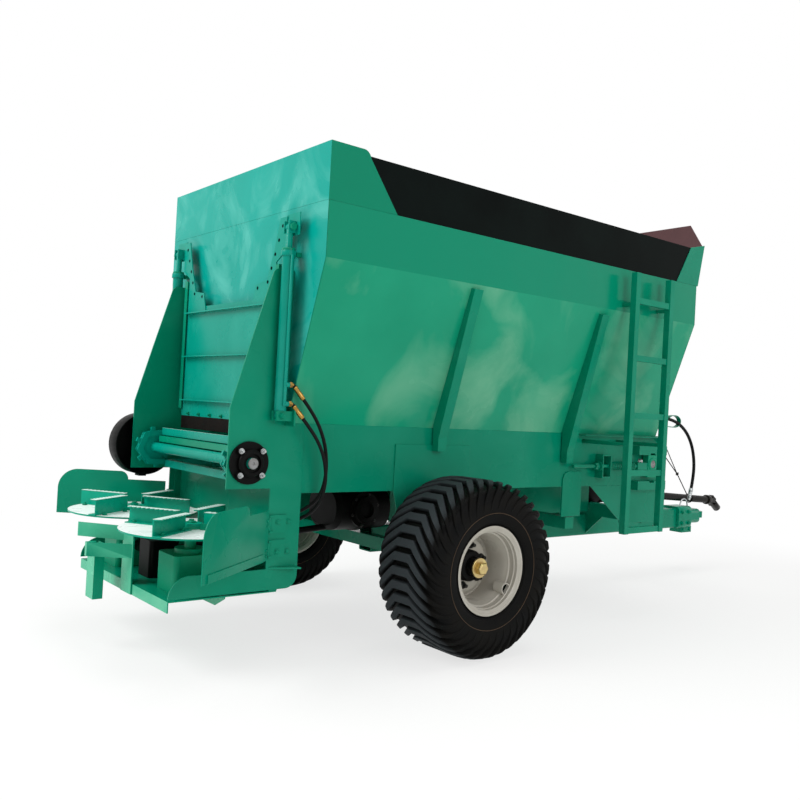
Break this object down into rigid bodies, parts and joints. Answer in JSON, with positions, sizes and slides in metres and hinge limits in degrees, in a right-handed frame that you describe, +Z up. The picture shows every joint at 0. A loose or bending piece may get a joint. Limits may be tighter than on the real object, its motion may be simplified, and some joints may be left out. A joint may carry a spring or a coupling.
{
  "type": "manure spreader",
  "caption": "Single-axle trailed manure spreader with a steel hopper, chain floor, hydraulic rear gate and twin spinner discs.",
  "frame": {"origin": "on the ground at mid length and mid width", "axes": "+X forward to the tow eye, +Y to the machine's left, +Z up"},
  "size_m": [5.4499, 2.204, 2.5569],
  "materials": {
    "green": "gloss enamel",
    "black_paint": "satin",
    "black_board": "satin",
    "rubber": "matte",
    "tyre": "matte",
    "rim": "satin grey",
    "zinc": "yellow passivated zinc",
    "steel": "worn",
    "maroon": "primer",
    "cast": "painted casting",
    "rope": "laid fibre",
    "dark": "satin"
  },
  "bodies": {
    "root": {"apron_wall": "green", "axle": "green", "axle_brackets": "green", "bearing_flange": "black_paint", "chain_guard": "black_paint", "conveyor_chains": "steel", "conveyor_slats": "green", "cross_members": "green", "cross_shaft": "dark", "cylinder_barrels": "green", "cylinder_brackets": "green", "drawbar": "green", "drive_shaft": "steel", "flap_hinges": "green", "frame_side_left": "green", "frame_side_right": "green", "front_board": "maroon", "front_corners": "green", "front_cross_beams": "green", "front_hose": "rubber", "front_legs": "green", "front_skirts": "green", "gate_guides": "green", "gate_hoses": "rubber", "gearboxes": "cast", "hopper_front_wall": "green", "hopper_rear_wall": "green", "hopper_side_left": "green", "hopper_side_right": "green", "hose_coupler": "steel", "idler_shaft": "steel", "ladder": "green", "line_shaft": "dark", "pto_shaft": "dark", "rear_hood": "green", "rear_side_plate_left": "green", "rear_side_plate_right": "green", "shaft_sling": "rope", "side_extensions": "black_board", "side_ribs": "green", "spinner_deck": "green", "stand_bracket": "green", "tensioners": "green", "tow_eye": "green", "tow_head": "green", "trough_floor": "green"},
    "wheel_right": {"tyre_right": "tyre", "rim_right": "rim", "hub_right": "zinc"},
    "wheel_left": {"tyre_left": "tyre", "rim_left": "rim", "hub_left": "zinc"},
    "gate_body": {"gate": "green", "gate_skirt": "rubber", "cylinder_rods": "green"},
    "disc_right": {"spinner_disc_right": "green"},
    "disc_left": {"spinner_disc_left": "green"},
    "flap_right_body": {"flap_right": "green"},
    "flap_left_body": {"flap_left": "green"},
    "jack_body": {"jack_leg": "green"}
  },
  "joints": [
    {"name": "wheel_right_spin", "type": "hinge", "parent": "root", "child": "wheel_right", "pos_m": [-1.125, -0.9, 0.437], "axis": [0, 1, 0], "continuous": true},
    {"name": "wheel_left_spin", "type": "hinge", "parent": "root", "child": "wheel_left", "pos_m": [-1.125, 0.9, 0.437], "axis": [0, 1, 0], "continuous": true},
    {"name": "gate_lift", "type": "slide", "parent": "root", "child": "gate_body", "axis": [0, 0, 1], "range_m": [0, 0.55]},
    {"name": "disc_right_spin", "type": "hinge", "parent": "root", "child": "disc_right", "pos_m": [-2.36, -0.345, 0.6], "axis": [0, 0, 1], "continuous": true},
    {"name": "disc_left_spin", "type": "hinge", "parent": "root", "child": "disc_left", "pos_m": [-2.36, 0.345, 0.6], "axis": [0, 0, 1], "continuous": true},
    {"name": "flap_right_swing", "type": "hinge", "parent": "root", "child": "flap_right_body", "pos_m": [-2.08, -0.57, 0.6], "axis": [0, 0, 1], "range_deg": [0, 35]},
    {"name": "flap_left_swing", "type": "hinge", "parent": "root", "child": "flap_left_body", "pos_m": [-2.08, 0.57, 0.6], "axis": [0, 0, -1], "range_deg": [0, 35]},
    {"name": "jack_fold", "type": "hinge", "parent": "root", "child": "jack_body", "pos_m": [-0.065, 0.42, 0.556], "axis": [0, 1, 0], "range_deg": [0, 90]}
  ],
  "couplings": [
    {"joint": "disc_left_spin", "follows": "disc_right_spin", "ratio": -1}
  ]
}
